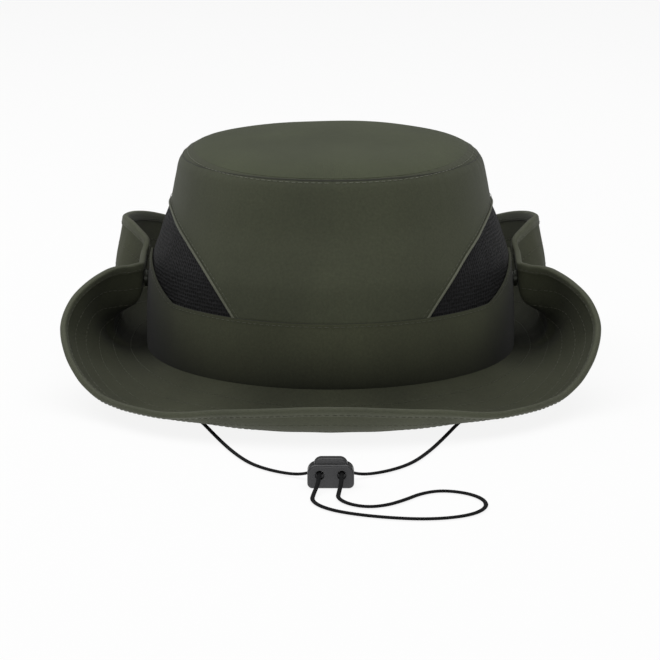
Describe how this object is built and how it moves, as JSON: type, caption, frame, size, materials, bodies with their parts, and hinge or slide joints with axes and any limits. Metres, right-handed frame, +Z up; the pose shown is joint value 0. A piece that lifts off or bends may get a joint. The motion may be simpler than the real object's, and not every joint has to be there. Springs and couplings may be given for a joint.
{
  "type": "boonie hat",
  "caption": "Wide-brimmed cloth sun hat with mesh side vents, brim sides that snap up to the crown, a chin cord and a sprung cord lock.",
  "frame": {"origin": "middle of the hat's footprint, on the surface that it stands on", "axes": "+Z up, -Y towards the hat's front, +X towards the wearer's left side, which is on the right when the front is seen"},
  "size_m": [0.2538, 0.4314, 0.118],
  "materials": {
    "cloth_green": "woven polyester, matt with a faint sheen",
    "cloth_tip": "the same cloth, facing the light",
    "mesh_black": "knitted mesh, matt",
    "piping": "narrow bound edge",
    "binding": "folded tape",
    "sweat_cloth": "soft inner cloth",
    "interlining": "felt, matt",
    "label_cloth": "blank satin tape",
    "snap_metal": "satin painted",
    "cord_black": "braided",
    "lock_plastic": "satin moulded",
    "spring_steel": "plain"
  },
  "bodies": {
    "hat": {"crown_tip": "cloth_tip", "front_panel": "cloth_green", "back_panel": "cloth_green", "mesh_vent_left": "mesh_black", "mesh_vent_right": "mesh_black", "vent_piping_left": "piping", "vent_piping_right": "piping", "crown_band": "cloth_green", "tip_seam_tape": "sweat_cloth", "sweatband": "sweat_cloth", "size_label": "label_cloth", "brim_top_ply": "cloth_green", "brim_interlining": "interlining", "brim_under_ply": "cloth_green", "binding_front": "binding", "binding_back": "binding", "snap_stud_left": "snap_metal", "snap_stud_right": "snap_metal", "snap_post_left": "snap_metal", "snap_post_right": "snap_metal", "cord_anchor_left": "cord_black", "cord_anchor_right": "cord_black", "chin_cord": "cord_black", "lock_body": "lock_plastic", "lock_spring": "spring_steel"},
    "left_side": {"left_side_top_ply": "cloth_green", "left_side_interlining": "interlining", "left_side_under_ply": "cloth_green", "left_side_binding": "binding", "snap_socket_left": "snap_metal", "snap_cap_left": "snap_metal"},
    "right_side": {"right_side_top_ply": "cloth_green", "right_side_interlining": "interlining", "right_side_under_ply": "cloth_green", "right_side_binding": "binding", "snap_socket_right": "snap_metal", "snap_cap_right": "snap_metal"},
    "lock_button": {"lock_plunger": "lock_plastic"}
  },
  "joints": [
    {"name": "left_side_opens", "type": "hinge", "parent": "hat", "child": "left_side", "pos_m": [-0.115, 0, 0.028], "axis": [0, -1, 0], "range_deg": [0, 100]},
    {"name": "right_side_opens", "type": "hinge", "parent": "hat", "child": "right_side", "pos_m": [0.115, 0, 0.028], "axis": [0, 1, 0], "range_deg": [0, 100]},
    {"name": "lock_button_press", "type": "slide", "parent": "hat", "child": "lock_button", "axis": [0, 0, -1], "range_m": [0, 0.0016], "stiffness_N_per_m": 1200, "springref_m": -0.001}
  ]
}
